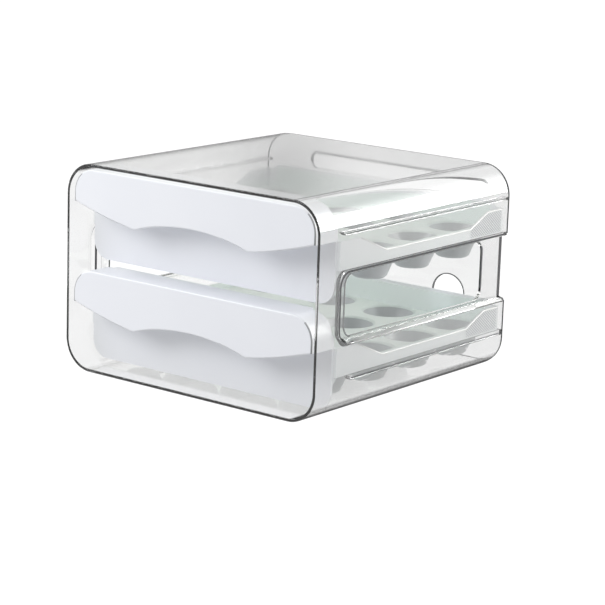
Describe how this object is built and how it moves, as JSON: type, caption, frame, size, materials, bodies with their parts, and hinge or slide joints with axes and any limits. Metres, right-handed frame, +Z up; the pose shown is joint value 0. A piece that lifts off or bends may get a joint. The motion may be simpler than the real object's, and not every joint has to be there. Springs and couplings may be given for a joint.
{
  "type": "egg storage drawer box",
  "caption": "Clear open-fronted casing with two sliding egg drawers, each a white lipped front, a frosted frame and a clear rack of round egg cups.",
  "frame": {"origin": "under the middle of the casing, on the face that it stands on", "axes": "+X to the right seen from the front, +Y to the back, +Z up; the drawers pull out along -Y"},
  "size_m": [0.24, 0.238, 0.159],
  "materials": {
    "clear_plastic": "clear, polished",
    "white_plastic": "white, smooth",
    "frosted_plastic": "translucent, frosted",
    "green_tinted_plastic": "clear, slightly green"
  },
  "bodies": {
    "casing": {"casing": "clear_plastic"},
    "upper_drawer": {"upper_drawer_front": "white_plastic", "upper_drawer_frame": "frosted_plastic", "upper_egg_rack": "green_tinted_plastic", "upper_egg_cups_row_1": "green_tinted_plastic", "upper_egg_cups_row_2": "green_tinted_plastic", "upper_egg_cups_row_3": "green_tinted_plastic", "upper_egg_cups_row_4": "green_tinted_plastic"},
    "lower_drawer": {"lower_drawer_front": "white_plastic", "lower_drawer_frame": "frosted_plastic", "lower_egg_rack": "green_tinted_plastic", "lower_egg_cups_row_1": "green_tinted_plastic", "lower_egg_cups_row_2": "green_tinted_plastic", "lower_egg_cups_row_3": "green_tinted_plastic", "lower_egg_cups_row_4": "green_tinted_plastic"}
  },
  "joints": [
    {"name": "upper_drawer_slide", "type": "slide", "parent": "casing", "child": "upper_drawer", "axis": [0, -1, 0], "range_m": [0, 0.18]},
    {"name": "lower_drawer_slide", "type": "slide", "parent": "casing", "child": "lower_drawer", "axis": [0, -1, 0], "range_m": [0, 0.18]}
  ]
}
